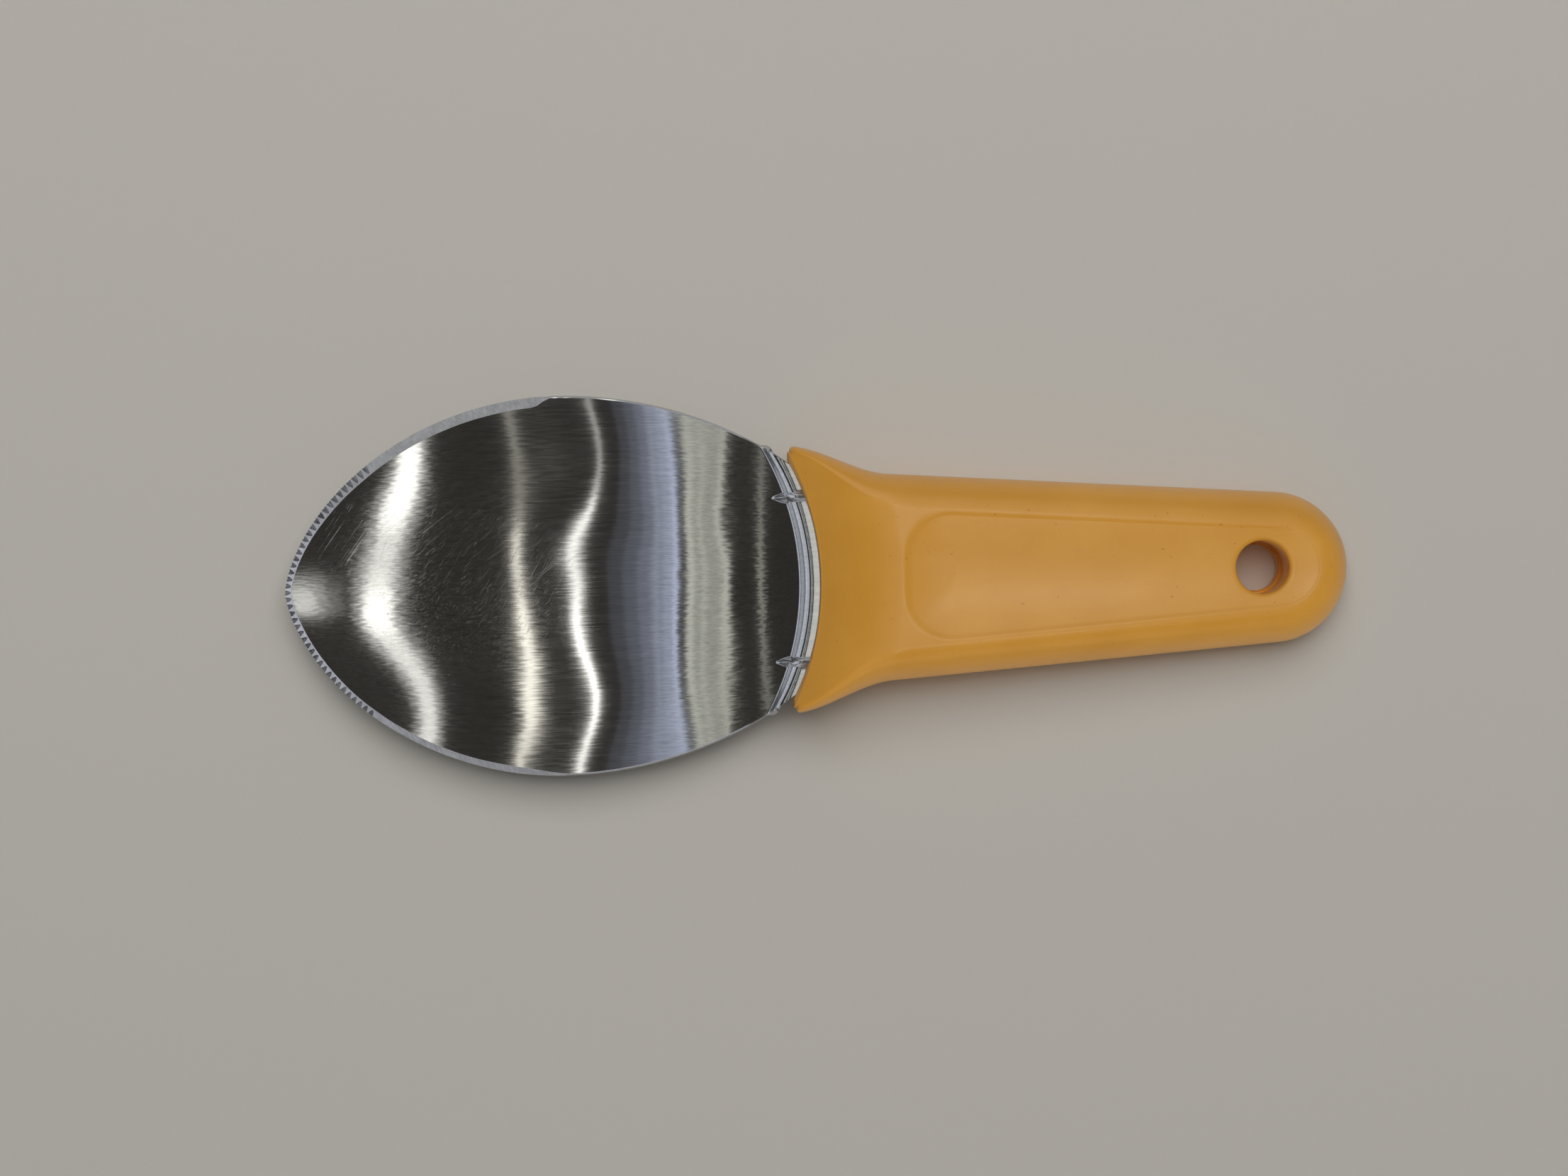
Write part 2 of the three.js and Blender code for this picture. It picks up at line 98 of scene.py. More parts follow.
def eased(x, end, width):
    return -width * math.log(1 + math.exp((end - x) / width))


def dish(x, y):
    if x < lowest:
        reach, rise, twist = lowest - tip, front_rise, front_twist
    else:
        reach, rise, twist = rear_reach, rear_rise, rear_twist
    along = ((x - lowest) / reach) ** 2
    across = abs(y) / half_bowl
    tip_lean, middle_lean, middle_start, middle_ease, rim_loss = far_lean if y > 0 else near_lean
    lean = tip_lean * eased(x, tip_lean_end, tip_lean_ease)
    lean += middle_lean * (eased(x, middle_lean_end, middle_lean_ease) - eased(x, middle_start, middle_ease))
    flank = smooth((abs(y) - flank_start) / flank_change)
    flank *= 1 - rim_loss * smooth((abs(y) - rim_start) / rim_change)
    return sheet + rise * along + (side_rise + twist * along) * across**2 - lean * flank


# The step follows the arc of the handle's mouth: a short steep face, a soft shoulder and a narrow flat strip.
# In front of it the pressing has a faint ripple.
mouth_radius, bend_radius = 49.5, 46.0
step_face, step_run, face_share = 0.8, 2.3, 0.52
strip_tilt = 0.01
ripple_height, ripple_length, ripple_breadth, ripple_layer = 0.03, 14.0, 11.0, 0.3
ripple_end, ripple_fade = -12.0, 6.0


def stepped(x, y):
    past = math.hypot(x + mouth_radius, y) - bend_radius if x > -mouth_radius else 0.0
    bend = min(1.0, max(0.0, past / step_run))
    climbed = mix(bend * (2 - bend), smooth(past / step_face), face_share)
    ripple = ripple_height * noise.noise(Vector((x / ripple_length, y / ripple_breadth, ripple_layer)))
    ripple *= smooth((ripple_end - x) / ripple_fade)
    return mix(dish(x, y) + ripple, tang_top(x) + strip_tilt * min(0.0, x), climbed)


# Each gusset is a slim rib that rises out of the dish, crosses the step and runs in under the handle's lip.
gusset_y, gusset_start, gusset_top, gusset_end = 14.3, -8.4, -3.6, -1.2
gusset_rise, gusset_point, gusset_half = 0.5, 0.08, 0.75
gusset_widening, gusset_close = 0.55, 0.4
crest_power, rib_power = 0.8, 1.2
probe = 0.02


def sheet_top(x, y):
    top = stepped(x, y)
    aside = abs(abs(y) - gusset_y)
    along = (x - gusset_start) / (gusset_top - gusset_start)
    width = gusset_point + gusset_half * smooth(along / gusset_widening)
    if not gusset_start < x < gusset_end or aside > width:
        return top
    low = stepped(gusset_start, gusset_y)
    high = stepped(gusset_top, gusset_y) + gusset_rise
    crest = mix(low, high, smooth(along) ** crest_power) - stepped(x, gusset_y)
    ended = smooth((gusset_end - x) / gusset_close)
    return top + max(0.0, crest) * ended * (1 - (aside / width) ** 2) ** rib_power


def sheet_normal(x, y):
    slope_x = (sheet_top(x + probe, y) - sheet_top(x - probe, y)) / (2 * probe)
    slope_y = (sheet_top(x, y + probe) - sheet_top(x, y - probe)) / (2 * probe)
    return Vector((-slope_x, -slope_y, 1)).normalized()


def pressed(x, y, depth):
    return Vector((x, y, sheet_top(x, y))) - depth * sheet_normal(x, y)


# Round the front the edge is ground to a bevel, wider on the far side. Behind, the sheet's edge stays plain.
plain_edge, lower_edge, edge_left = 0.12, 0.1, 0.25
bevel_tip, bevel_far, bevel_near, bevel_change = 1.05, 1.5, 0.88, 14.0
bevel_waver, waver_length = 0.06, 5.0
grind_far, grind_far_fade = -46.0, 3.5
grind_near, grind_near_fade = -44.0, 9.0
ground_far, ground_near = -46.3, -45.5


def grind(x, side):
    if side > 0:
        return smooth((grind_far - x) / grind_far_fade)
    return smooth((grind_near - x) / grind_near_fade)


def bevel_width(x, side):
    full = mix(bevel_tip, bevel_far if side > 0 else bevel_near, smooth((x - tip) / bevel_change))
    full += bevel_waver * noise.noise(Vector((x / waver_length, side, 0)))
    return mix(plain_edge, full, grind(x, side))


# Rows of the mesh run across the blank, bowed like the step as they come near it. Columns run along it, and
# they are closest together at the gussets.
quarter = math.pi / 2
neck_start, neck_end = -9.0, 2.0
round_start = tang_end - half_tang
rows = [belly - (belly - tip) * math.cos(quarter * k / 64) for k in range(64)]
rows += [mix(belly, neck_start, k / 48) for k in range(48)]
rows += [mix(neck_start, neck_end, k / 72) for k in range(72)]
rows += [mix(neck_end, round_start, k / 18) for k in range(18)]
rows += [round_start + half_tang * math.sin(quarter * k / 8) for k in range(9)]
row_last, column_last = len(rows) - 1, 150
crowd_at, crowd_half, crowd_gain = 0.645, 0.08, 4.0
samples = [k / 500 - 1 for k in range(1001)]
density = [1 + crowd_gain * math.exp(-(((abs(s) - crowd_at) / crowd_half) ** 2)) for s in samples]
sums = [sum(density[:k]) for k in range(len(samples))]
columns = []
for k in range(column_last - 1):
    wanted = sums[-1] * k / (column_last - 2)
    columns.append(samples[bisect.bisect_left(sums, wanted)])
bow_start, bow_change, bow_most = -40.0, 28.0, 16.0


def bow(x, y):
    arc = bend_radius - math.sqrt(bend_radius**2 - y * y)
    return smooth((x - bow_start) / bow_change) * arc


rim = []
for x in rows:
    low, high = x - bow_most, x
    for _ in range(40):
        at = (low + high) / 2
        if at + bow(x, blank_half_width(at)) > x:
            high = at
        else:
            low = at
    rim.append(Vector((high, blank_half_width(high))))
rim[0].y = rim[-1].y = 0.0


def rim_inward(i):
    if i in (0, row_last):
        return Vector((1.0 if i == 0 else -1.0, 0.0))
    along = (rim[i + 1] - rim[i - 1]).normalized()
    return Vector((along.y, -along.x))


def bowl_point(i, j, upper):
    x, y = rim[i]
    side = -1 if j == 0 else 1
    if j in (0, column_last):
        depth = mix(plain_edge, sheet - edge_left, grind(x, side)) if upper else sheet
        return pressed(x, side * y, depth)
    inward = rim_inward(i)
    near, far = (rim[i] + (bevel_width(x, s) if upper else lower_edge) * inward for s in (-1, 1))
    share = (columns[j - 1] + 1) / 2
    across = mix(-max(0.0, near.y), max(0.0, far.y), share)
    edge_bow = mix(bow(rows[i], near.y), bow(rows[i], far.y), share)
    along = mix(near.x, far.x, share) + edge_bow - bow(rows[i], across)
    return pressed(along, across, 0 if upper else sheet)


blank = bmesh.new()
bmesh.ops.create_grid(blank, x_segments=row_last, y_segments=column_last, size=1)
for face in blank.faces:
    face.material_index = int(abs(face.calc_center_median().y) > 1 - 2 / column_last)
grown = bmesh.ops.extrude_face_region(blank, geom=blank.faces[:], use_keep_orig=True)
upper_verts = [g for g in grown["geom"] if isinstance(g, bmesh.types.BMVert)]
bmesh.ops.translate(blank, verts=upper_verts, vec=(0, 0, 1))
for vert in blank.verts:
    i = round((vert.co.x + 1) / 2 * row_last)
    j = round((vert.co.y + 1) / 2 * column_last)
    vert.co = bowl_point(i, j, vert.co.z > 0.5)
bmesh.ops.remove_doubles(blank, verts=blank.verts, dist=1e-4)
bmesh.ops.dissolve_degenerate(blank, edges=blank.edges, dist=1e-5)
bmesh.ops.recalc_face_normals(blank, faces=blank.faces)
for face in blank.faces:
    centre = face.calc_center_median()
    if centre.x > (ground_far if centre.y > 0 else ground_near):
        face.material_index = 0
blank_mesh = bpy.data.meshes.new("steel_bowl_blank")
blank.to_mesh(blank_mesh)
blank.free()
blank_object = bpy.data.objects.new("steel_bowl_blank", blank_mesh)
bpy.context.scene.collection.objects.link(blank_object)

# Serrations: small round flutes ground across the bevel, one every 1.25 mm, to both sides of the tip.
# Each runs out on the bevel like a fingernail and only just breaks the lower edge.
flute_radius, flute_pitch, flute_count = 0.62, 1.25, 43
flute_share, flute_waver, flute_bite = 0.76, 0.1, 0.05
cutter_length, cutter_shift = 2.6, 0.2
edge_steps = 3000
turns = [math.pi * (k / edge_steps - 0.5) for k in range(edge_steps + 1)]
edge_x = [belly - (belly - tip) * math.cos(a) for a in turns]
edge = [Vector((x, math.copysign(bowl_half_width(x), a))) for x, a in zip(edge_x, turns)]
run = [0.0]
for before, after in zip(edge, edge[1:]):
    run.append(run[-1] + (after - before).length)
flutes = bmesh.new()
for k in range(flute_count):
    at = bisect.bisect(run, run[-1] / 2 + (k - (flute_count - 1) / 2) * flute_pitch)
    x, y = edge[at]
    along = (edge[at + 5] - edge[at - 5]).to_3d().normalized()
    up = sheet_normal(x, y)
    inward = along.cross(up).normalized()
    if inward.dot(Vector((belly - x, -y, 0))) < 0:
        inward.negate()
    bevel = bevel_width(x, 1 if y > 0 else -1)
    length = bevel * (flute_share + flute_waver * noise.noise(Vector((k * 1.7, 0, 0))))
    climb = math.atan2(edge_left + (sheet - edge_left) * length / bevel, length)
    axis = inward * math.cos(climb) + up * math.sin(climb)
    aside = up * math.cos(climb) - inward * math.sin(climb)
    centre = pressed(x, y, sheet) + aside * (flute_radius - flute_bite) + axis * cutter_shift
    cutter_place = Matrix((along, aside, axis)).transposed().to_4x4()
    cutter_place.translation = centre
    bmesh.ops.create_cone(flutes, cap_ends=True, segments=18, radius1=flute_radius, radius2=flute_radius,
                          depth=cutter_length, matrix=cutter_place)
bmesh.ops.recalc_face_normals(flutes, faces=flutes.faces)
for face in flutes.faces:
    face.material_index = 2
flute_mesh = bpy.data.meshes.new("flute_cutter")
flutes.to_mesh(flute_mesh)
flutes.free()
flute_object = bpy.data.objects.new("flute_cutter", flute_mesh)
bpy.context.scene.collection.objects.link(flute_object)

# Brushed steel: stainless brushed along the length, so that light smears across it. Fine streaks, a few
# slanting scratches and a faint unevenness of the brushing are all the colour it has. The flat strip by the
# handle's lip is worn duller.
brushed = bpy.data.materials.new("brushed_steel")
brushed.use_nodes = True
tree = brushed.node_tree
steel = tree.nodes["Principled BSDF"]
steel.inputs["Metallic"].default_value = 1.0
steel.inputs["Anisotropic"].default_value = 1.0
grain_tangent = tree.nodes.new("ShaderNodeTangent")
grain_tangent.direction_type = "UV_MAP"
grain_tangent.uv_map = "across_grain"
tree.links.new(grain_tangent.outputs["Tangent"], steel.inputs["Tangent"])
place = tree.nodes.new("ShaderNodeTexCoord")


# Noise stretched to streaks of a length and width in millimetres, turned by an angle in degrees.
def streaks(place, length, width, turn, detail):
    tree = place.id_data
    mapping = tree.nodes.new("ShaderNodeMapping")
    mapping.vector_type = "TEXTURE"
    mapping.inputs["Rotation"].default_value = (0, 0, math.radians(turn))
    mapping.inputs["Scale"].default_value = (length / 1000, width / 1000, width / 1000)
    tree.links.new(place.outputs["Object"], mapping.inputs["Vector"])
    texture = tree.nodes.new("ShaderNodeTexNoise")
    texture.inputs["Scale"].default_value = 1.0
    texture.inputs["Detail"].default_value = detail
    tree.links.new(mapping.outputs["Vector"], texture.inputs["Vector"])
    return texture.outputs["Fac"]


def ranged(value, low, high, to_low, to_high):
    tree = value.id_data
    mapped = tree.nodes.new("ShaderNodeMapRange")
    mapped.inputs["From Min"].default_value = low
    mapped.inputs["From Max"].default_value = high
    mapped.inputs["To Min"].default_value = to_low
    mapped.inputs["To Max"].default_value = to_high
    tree.links.new(value, mapped.inputs["Value"])
    return mapped.outputs["Result"]


# Noise mostly lies between 0.3 and 0.7, and that span is spread over the wanted values.
def spread_noise(value, to_low, to_high):
    return ranged(value, 0.3, 0.7, to_low, to_high)


def combined(operation, a, b):
    tree = a.id_data
    maths = tree.nodes.new("ShaderNodeMath")
    maths.operation = operation
    tree.links.new(a, maths.inputs[0])
    if isinstance(b, float):
        maths.inputs[1].default_value = b
    else:
        tree.links.new(b, maths.inputs[1])
    return maths.outputs[0]


def distance(place, point):
    tree = place.id_data
    apart = tree.nodes.new("ShaderNodeVectorMath")
    apart.operation = "DISTANCE"
    apart.inputs[1].default_value = point
    tree.links.new(place.outputs["Object"], apart.inputs[0])
    return apart.outputs["Value"]


def spot(place, x, y, reach):
    away = distance(place, (mouth_x + x / 1000, y / 1000, 0.003))
    return ranged(away, reach / 2000, reach / 1000, 1, 0)


def tinted(tone, shares):
    tree = tone.id_data
    shade = tree.nodes.new("ShaderNodeCombineColor")
    for channel, share in zip(("Red", "Green", "Blue"), shares):
        tree.links.new(combined("MULTIPLY", tone, share), shade.inputs[channel])
    return shade.outputs["Color"]


def bumped(height, strength, depth):
    tree = height.id_data
    relief = tree.nodes.new("ShaderNodeBump")
    relief.inputs["Strength"].default_value = strength
    relief.inputs["Distance"].default_value = depth / 1000
    tree.links.new(height, relief.inputs["Height"])
    return relief.outputs["Normal"]


fine = streaks(place, 6, 0.16, 0, 3)
combed = streaks(place, 5, 0.35, 0, 0)
broad = streaks(place, 22, 0.7, 0, 3)
cloud = streaks(place, 17, 13, 0, 2)
long_lines = ranged(streaks(place, 16, 0.14, 54, 2), 0.62, 0.66, 0, 1)
slant_lines = ranged(streaks(place, 15, 0.1, 36, 1), 0.66, 0.7, 0, 1)
cross_lines = ranged(streaks(place, 12, 0.09, 62, 1), 0.67, 0.71, 0, 1)
rubbed = combined("MULTIPLY", spot(place, -62, 1, 22), combined("MAXIMUM", slant_lines, cross_lines))
scratches = combined("MAXIMUM", rubbed, combined("MULTIPLY", spot(place, -83, 10, 9), long_lines))
tone = combined("ADD", spread_noise(fine, -0.07, 0.07), spread_noise(broad, -0.03, 0.03))
tone = combined("ADD", tone, spread_noise(cloud, 0.55, 0.59))
tree.links.new(tinted(tone, (0.985, 1.0, 1.0)), steel.inputs["Base Color"])
worn_start, worn_full, worn_roughness = 0.0476, 0.0484, 0.13
from_bend = distance(place, (mouth_x - mouth_radius / 1000, 0, tang_height / 1000))
worn = ranged(from_bend, worn_start, worn_full, 0, worn_roughness)
gloss = combined("ADD", spread_noise(fine, 0.075, 0.1), spread_noise(cloud, -0.007, 0.007))
gloss = combined("ADD", gloss, worn)
gloss = combined("ADD", gloss, ranged(scratches, 0, 1, 0, 0.16))
tree.links.new(gloss, steel.inputs["Roughness"])
tree.links.new(bumped(combed, 0.2, 0.02), steel.inputs["Normal"])


# Ground steel of the bevel: greyer and duller than the brushed face, with marks across it from the wheel.
# The flutes are the same steel with painted shade: a much darker colour stands in for the shade at the bottom
# of the cut.
def ground_steel(name, dark, pale, metal):
    finish = bpy.data.materials.new(name)
    finish.use_nodes = True
    tree = finish.node_tree
    cut = tree.nodes["Principled BSDF"]
    cut.inputs["Metallic"].default_value = metal
    place = tree.nodes.new("ShaderNodeTexCoord")
    marks = streaks(place, 0.16, 1.1, 35, 3)
    patches = streaks(place, 2.5, 2.5, 0, 2)
    tone = combined("ADD", spread_noise(marks, dark, pale), spread_noise(patches, -0.07, 0.07))
    tree.links.new(tinted(tone, (0.97, 0.98, 1.0)), cut.inputs["Base Color"])
    tree.links.new(spread_noise(marks, 0.32, 0.46), cut.inputs["Roughness"])
    tree.links.new(bumped(marks, 0.4, 0.03), cut.inputs["Normal"])
    return finish


ground = ground_steel("ground_steel", 0.58, 0.86, 0.85)
# Painted shade: the flutes' dark tone stands in for the shade that lies in the cut.
painted_shade_flutes = ground_steel("flute_painted_shade_steel", 0.12, 0.34, 0.9)

# The flutes are cut out of the blank, and the finished bowl goes to its place in the frame. Edges stay sharp
# where two finishes meet and where a flute cuts the bevel, and the gussets are shaded smooth.
for mesh in (blank_mesh, flute_mesh):
    mesh.materials.append(brushed)
    mesh.materials.append(ground)
    mesh.materials.append(painted_shade_flutes)
cutting = blank_object.modifiers.new("flutes", "BOOLEAN")
cutting.operation = "DIFFERENCE"
cutting.solver = "EXACT"
cutting.use_self = True
cutting.object = flute_object
cut_object = blank_object.evaluated_get(bpy.context.evaluated_depsgraph_get())
bowl_mesh = bpy.data.meshes.new_from_object(cut_object)
in_place = Matrix.Translation((mouth_x, 0, 0)) @ Matrix.Scale(0.001, 4)
bowl_mesh.transform(in_place)
bpy.data.objects.remove(blank_object)
bpy.data.objects.remove(flute_object)
sharp_angle, ground_sharp_angle = math.radians(28), math.radians(14)
bowl_mesh.shade_smooth()
bowl_mesh.set_sharp_from_angle(angle=sharp_angle)
finished = bmesh.new()
finished.from_mesh(bowl_mesh)
for joint in finished.edges:
    kinds = {face.material_index for face in joint.link_faces}
    if len(kinds) == 2 or (0 not in kinds and joint.calc_face_angle(0.0) > ground_sharp_angle):
        joint.smooth = False
    middle = (joint.verts[0].co + joint.verts[1].co) * 500
    if abs(abs(middle.y) - gusset_y) < 1.6 and -9 < middle.x - mouth_x * 1000 < -1:
        joint.smooth = True
finished.to_mesh(bowl_mesh)
finished.free()
across_grain = bowl_mesh.uv_layers.new(name="across_grain")
for loop in bowl_mesh.loops:
    corner = bowl_mesh.vertices[loop.vertex_index].co
    across_grain.data[loop.index].uv = (corner.y * 5 + 0.5, corner.x * 5 + 0.5)
bowl = bpy.data.objects.new("pressed_steel_bowl", bowl_mesh)
bpy.context.scene.collection.objects.link(bowl)
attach(bowl, "root")
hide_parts("steel_bowl")

# Handle: one satin plastic moulding round the tang, from a mould in two halves that met on the widest
# contour. Two ears embrace the bowl, a ramp rises to a dished thumb recess, and a stepped hole hangs it up.
handle_length, end_radius, half_grip = 91.995, 13.2, 18.8
ear_reach, ear_flare, ear_round = 4.95, 4.0, 0.9
crest, flare_end, full_rounding = 14.0, 12.0, 15.0
lip_height, crest_height, ramp_power = 2.0, 7.88, 1.7
ear_clearance, under_end = 3.2, 22.0
upper_rounding, lower_rounding = (1.1, 6.0), (9.0, 4.0)
end_centre = handle_length - end_radius
taper = math.acos(end_radius / math.hypot(half_grip, end_centre)) - math.atan2(end_centre, half_grip)


def parting(x):
    return tang_top(x) - sheet / 2


def sag(y):
    return mouth_radius - math.sqrt(mouth_radius**2 - y * y)


def grip_half_width(x):
    return half_grip - x * math.tan(taper)


def handle_half_width(x):
    to_tip = min(1.0, max(0.0, (x + ear_reach) / ear_round))
    corner = ear_round * (1 - math.sqrt(1 - (1 - to_tip) ** 2))
    return grip_half_width(x) + ear_flare * smooth((flare_end - x) / (flare_end + ear_reach)) - corner


def handle_top(x, y):
    from_mouth = math.hypot(x + mouth_radius, y) - mouth_radius
    climbed = min(1.0, from_mouth / crest)
    return parting(x) + mix(lip_height, crest_height, 1 - (1 - climbed) ** ramp_power)


def handle_under(x, y):
    return ear_clearance * (1 - smooth((x + ear_reach) / (under_end + ear_reach)))


# The thumb recess: a shallow trough with rounded ends, and a narrow shoulder that fades towards the hole.
recess_start, recess_end, recess_margin, recess_least = crest + 0.3, 86.0, 6.3, 6.0
recess_radius, front_corner, rear_corner, corner_change = 80.0, 8.5, 6.5, 50.0
shoulder_depth, shoulder_width = 0.13, 0.55
shoulder_left, shoulder_fade_start, shoulder_fade = 0.5, 60.0, 25.0


def recess_depth(x, y):
    half = max(recess_least, grip_half_width(x) - recess_margin)
    corner = front_corner if x < corner_change else rear_corner
    beyond_x = max(recess_start + corner - x, x - recess_end + corner, 0.0)
    beyond_y = max(abs(y) - half + corner, 0.0)
    inside = half - abs(y)
    if beyond_x:
        inside = corner - math.hypot(beyond_x, beyond_y)
    inside = max(0.0, inside)
    sunk = min(1.0, inside / half)
    trough = half * half / (2 * recess_radius) * sunk * (2 - sunk)
    fading = mix(1.0, shoulder_left, smooth((x - shoulder_fade_start) / shoulder_fade))
    return trough + shoulder_depth * smooth(inside / shoulder_width) * fading


# Rings of the mesh stand along the outline of the handle, from the ears to the round end. The hole is left
# open in them, and the points near it are drawn onto a circle.
stations = [-ear_reach + ear_round * (1 - math.cos(quarter * k / 6)) for k in range(6)]
stations += [mix(ear_round - ear_reach, full_rounding, k / 44) for k in range(44)]
side_end = end_centre + end_radius * math.sin(taper)
stations += [mix(full_rounding, side_end, k / 110) for k in range(110)]
outline = []
for x in stations:
    slope = (handle_half_width(x + 0.01) - handle_half_width(x - 0.01)) / 0.02
    inward = Vector((slope if x > ear_round - ear_reach else 0.0, -1.0)).normalized()
    outline.append((Vector((x, handle_half_width(x))), inward))
for k in range(41):
    angle = mix(taper, quarter, k / 40)
    outward = Vector((math.sin(angle), math.cos(angle) if k < 40 else 0.0))
    outline.append((Vector((end_centre, 0.0)) + end_radius * outward, -outward))
ring_last, roll, flat = len(outline) - 1, 12, 44
around = 4 * roll + 2 * flat
hole_x, rim_round = 76.0, 0.7
hole_above, hole_below = 4.6, 4.2
hole_columns, hole_window, side_shift = 13, 4.8, 0.3
hole_rows = []
for k, (point, _) in enumerate(outline):
    shifted = point.x + (side_shift if point.x < side_end else 0.0)
    if abs(shifted - hole_x) < hole_window:
        hole_rows.append(k)
hole_first, hole_last = hole_rows[0], hole_rows[-1]


def spread(k):
    share = 1 - 2 * k / flat
    return 0.45 * share + 0.55 * math.sin(quarter * share)


def flat_x(i, radius):
    return outline[i][0].x + outline[i][1].x * radius


def handle_point(i, j):
    upper = j <= around // 2
    k = j if upper else around - j
    side = 1
    if k > roll + flat:
        k, side = around // 2 - k, -1
    (x, y), inward = outline[i]
    share = min(1.0, max(0.0, (x + ear_reach) / (full_rounding + ear_reach)))
    rounding = upper_rounding if upper else lower_rounding
    radius = mix(rounding[0], rounding[1], share)
    surface = handle_top if upper else handle_under
    curve = 1 - smooth(share)
    inner = Vector((x, y)) + radius * inward
    start = parting(x)
    if k < roll:
        angle = quarter * k / roll
        at = Vector((x, y)) + radius * (1 - math.cos(angle)) * inward
        px = at.x + curve * (sag(y) - sag(at.y))
        inner_x = inner.x + curve * (sag(y) - sag(inner.y))
        pz = start + (surface(inner_x, inner.y) - start) * math.sin(angle)
        py = side * at.y
    else:
        across = spread(k - roll) * side
        px, py = inner.x, inner.y * across
        from_hole = px - hole_x
        hole_end = flat_x(hole_last if from_hole > 0 else hole_first, radius)
        size = max(from_hole / (hole_end - hole_x), abs(across) / spread(flat // 2 - hole_columns))
        if size < 1.5:
            rim_radius = (hole_above if upper else hole_below) + rim_round
            circle = rim_radius * size / max(1e-6, math.hypot(from_hole, py))
            scale = mix(circle, 1.0, smooth((size - 1) / 0.5))
            px, py = hole_x + from_hole * scale, py * scale
        px += curve * (sag(y) - sag(py))
        pz = surface(px, py)
    if upper:
        pz -= recess_depth(px, py)
    return Vector((px, py, pz))


moulding = bmesh.new()
bmesh.ops.create_grid(moulding, x_segments=ring_last, y_segments=around, size=1)
drilled = []
for face in moulding.faces:
    centre = face.calc_center_median()
    i = (centre.x + 1) / 2 * ring_last
    j = (centre.y + 1) / 2 * around
    k = (j if j < around / 2 else around - j) - roll - flat / 2
    if hole_first < i < hole_last and abs(k) < hole_columns:
        drilled.append(face)
bmesh.ops.delete(moulding, geom=drilled, context="FACES")
for vert in moulding.verts:
    i = round((vert.co.x + 1) / 2 * ring_last)
    j = round((vert.co.y + 1) / 2 * around)
    vert.co = handle_point(i, j)
bmesh.ops.remove_doubles(moulding, verts=moulding.verts, dist=1e-4)
bmesh.ops.dissolve_degenerate(moulding, edges=moulding.edges, dist=1e-5)


def open_edges(test):
    return [e for e in moulding.edges if e.is_boundary and all(test(v.co) for v in e.verts)]


def grown_edges(edges):
    made = bmesh.ops.extrude_edge_only(moulding, edges=edges)["geom"]
    new_edges = [g for g in made if isinstance(g, bmesh.types.BMEdge)]
    new_verts = [g for g in made if isinstance(g, bmesh.types.BMVert)]
    return new_edges, new_verts


# The mouth: its rounded lip turns in to the slot that the tang comes out of.
slot_half, mouth_half, slot_clearance, slot_round = 20.9, 22.2, 0.12, 0.5
slot_depth, slot_narrowing = 9.0, 0.8
lip_rings = ((0.1, 0.25), (0.25, 0.1))
lip = open_edges(lambda p: p.x < 2)


def slot_place(p):
    y = p.y * slot_half / mouth_half
    open_half = (sheet / 2 + slot_clearance) * min(1.0, max(0.0, (slot_half - abs(y)) / slot_round))
    middle = parting(-sag(y))
    return Vector((p.x, y, middle + math.copysign(open_half, p.z - parting(p.x))))


for inward, forward in lip_rings:
    lip, verts = grown_edges(lip)
    for vert in verts:
        way = slot_place(vert.co) - vert.co
        if way.length > 1e-6:
            vert.co += way.normalized() * min(way.length, inward)
        vert.co.x -= forward
lip, verts = grown_edges(lip)
for vert in verts:
    vert.co = slot_place(vert.co)
lip, verts = grown_edges(lip)
for vert in verts:
    vert.co.x += slot_depth
    vert.co.z -= slot_depth * tang_fall
    vert.co.y *= slot_narrowing
bmesh.ops.contextual_create(moulding, geom=lip)

# The hang hole: two mould pins met in it, the upper one wider, and left a step with ragged flash. Each ring of
# its wall has a radius, a height and, on the flash alone, a 1 that lets it waver.
flash_middle, flash_waver = 0.1, 0.3
wall = open_edges(lambda p: abs(p.x - hole_x) < 8 and p.z > 5)
dropped = 0.0
for k in range(1, 6):
    angle = quarter * k / 5
    radius = hole_above + rim_round * (1 - math.sin(angle))
    drop = rim_round * (1 - math.cos(angle))
    wall, verts = grown_edges(wall)
    for vert in verts:
        out = Vector((vert.co.x - hole_x, vert.co.y)).normalized()
        vert.co = Vector((hole_x + radius * out.x, radius * out.y, vert.co.z - drop + dropped))
    dropped = drop
ledge = parting(hole_x)
wall_rings = [
    (hole_above, ledge + 1.2, 0.0),
    (hole_above - 0.02, ledge + 0.12, 0.0),
    (hole_above - 0.1, ledge, 0.0),
    (hole_below + 0.12, ledge, 0.0),
    (hole_below, ledge + 0.16, 1.0),
    (hole_below - 0.05, ledge + 0.1, 1.0),
    (hole_below, ledge - 0.2, 0.0),
    (hole_below, ledge / 2, 0.0),
]
for k in range(5):
    angle = quarter * k / 5
    flared = hole_below + rim_round * (1 - math.cos(angle))
    wall_rings.append((flared, rim_round * (1 - math.sin(angle)), 0.0))
for radius, height, flash in wall_rings:
    wall, verts = grown_edges(wall)
    for vert in verts:
        out = Vector((vert.co.x - hole_x, vert.co.y)).normalized()
        ragged = flash * (flash_middle + flash_waver * noise.noise(Vector((out.x * 4, out.y * 4, 2.5))))
        inner = radius - max(0.0, ragged)
        vert.co = Vector((hole_x + inner * out.x, inner * out.y, height + 0.5 * ragged))
rim_below = open_edges(lambda p: abs(p.x - hole_x) < 8 and p.z < 0.01)
bmesh.ops.bridge_loops(moulding, edges=list(set(wall + rim_below)))
bmesh.ops.recalc_face_normals(moulding, faces=moulding.faces)
bmesh.ops.transform(moulding, matrix=in_place, verts=moulding.verts)
handle_mesh = bpy.data.meshes.new("moulded_handle")
moulding.to_mesh(handle_mesh)
moulding.free()
handle_mesh.shade_smooth()
handle_mesh.set_sharp_from_angle(angle=math.radians(40))

